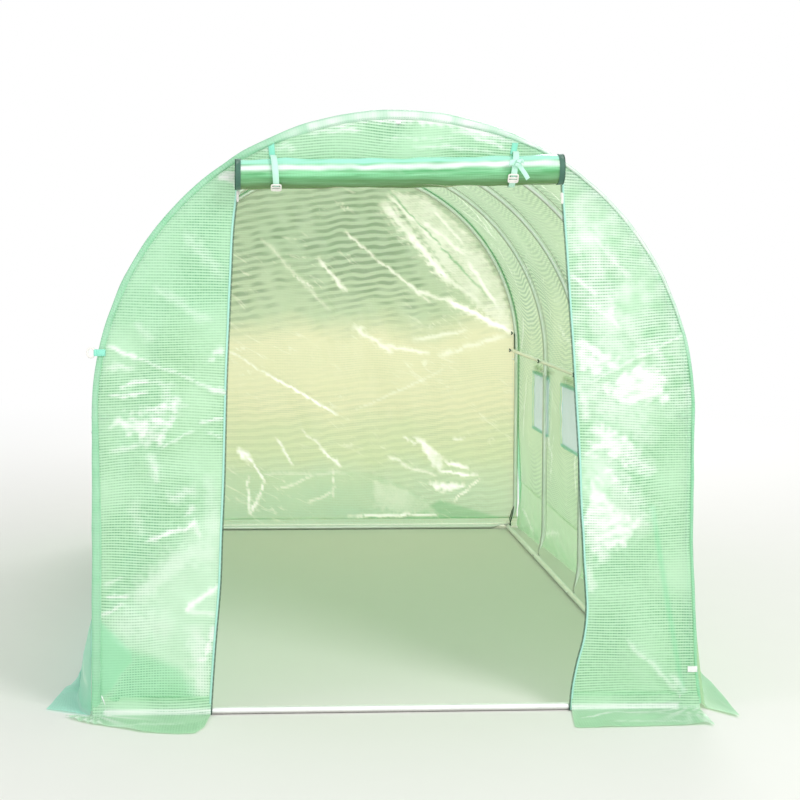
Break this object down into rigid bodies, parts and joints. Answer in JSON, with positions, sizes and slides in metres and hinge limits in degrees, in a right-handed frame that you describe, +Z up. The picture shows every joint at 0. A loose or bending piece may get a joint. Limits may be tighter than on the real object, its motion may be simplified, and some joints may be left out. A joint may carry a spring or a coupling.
{
  "type": "polytunnel greenhouse",
  "caption": "Walk-in arched tunnel greenhouse: galvanised tube hoops under a woven film cover, with a rolled-up doorway, netted side windows and ground skirts.",
  "frame": {"origin": "on the ground, at the middle of the footprint with its skirts", "axes": "+Z up, the tunnel runs along Y with its doorway facing -Y, +X to the right of someone walking in"},
  "size_m": [2.31, 3.906, 2],
  "materials": {
    "galvanised_tube": "bright galvanised, slightly streaked",
    "cover_film": "translucent green film with a woven reinforcing grid, glossy and creased",
    "rolled_film": "many layers of green film, glossy",
    "skirt_film": "green film lying on the ground, glossy",
    "zip_tape": "woven tape",
    "webbing": "woven strap",
    "white_plastic": "moulded, slightly shiny",
    "insect_net": "fine white net"
  },
  "bodies": {
    "root": {"back_base_rail": "galvanised_tube", "back_skirt": "skirt_film", "back_wall_film": "cover_film", "door_roll": "rolled_film", "door_straps": "webbing", "door_zip_tapes": "zip_tape", "front_base_rail": "galvanised_tube", "hoop_1_arch": "galvanised_tube", "hoop_1_legs": "galvanised_tube", "hoop_2_arch": "galvanised_tube", "hoop_2_legs": "galvanised_tube", "hoop_3_arch": "galvanised_tube", "hoop_3_legs": "galvanised_tube", "hoop_4_arch": "galvanised_tube", "hoop_4_legs": "galvanised_tube", "hoop_5_arch": "galvanised_tube", "hoop_5_legs": "galvanised_tube", "left_base_rail": "galvanised_tube", "left_front_panel": "cover_film", "left_front_skirt": "skirt_film", "left_purlin": "galvanised_tube", "left_skirt": "skirt_film", "left_wall_film": "cover_film", "left_window_flaps": "rolled_film", "left_window_nets": "insect_net", "ridge_purlin": "galvanised_tube", "right_base_rail": "galvanised_tube", "right_front_panel": "cover_film", "right_front_skirt": "skirt_film", "right_purlin": "galvanised_tube", "right_skirt": "skirt_film", "right_wall_film": "cover_film", "right_window_flaps": "rolled_film", "right_window_nets": "insect_net", "roof_film_1": "cover_film", "roof_film_2": "cover_film", "roof_film_3": "cover_film", "roof_film_4": "cover_film", "roof_film_5": "cover_film", "roof_film_6": "cover_film", "strap_buckles": "white_plastic", "top_front_panel": "cover_film"}
  },
  "joints": []
}
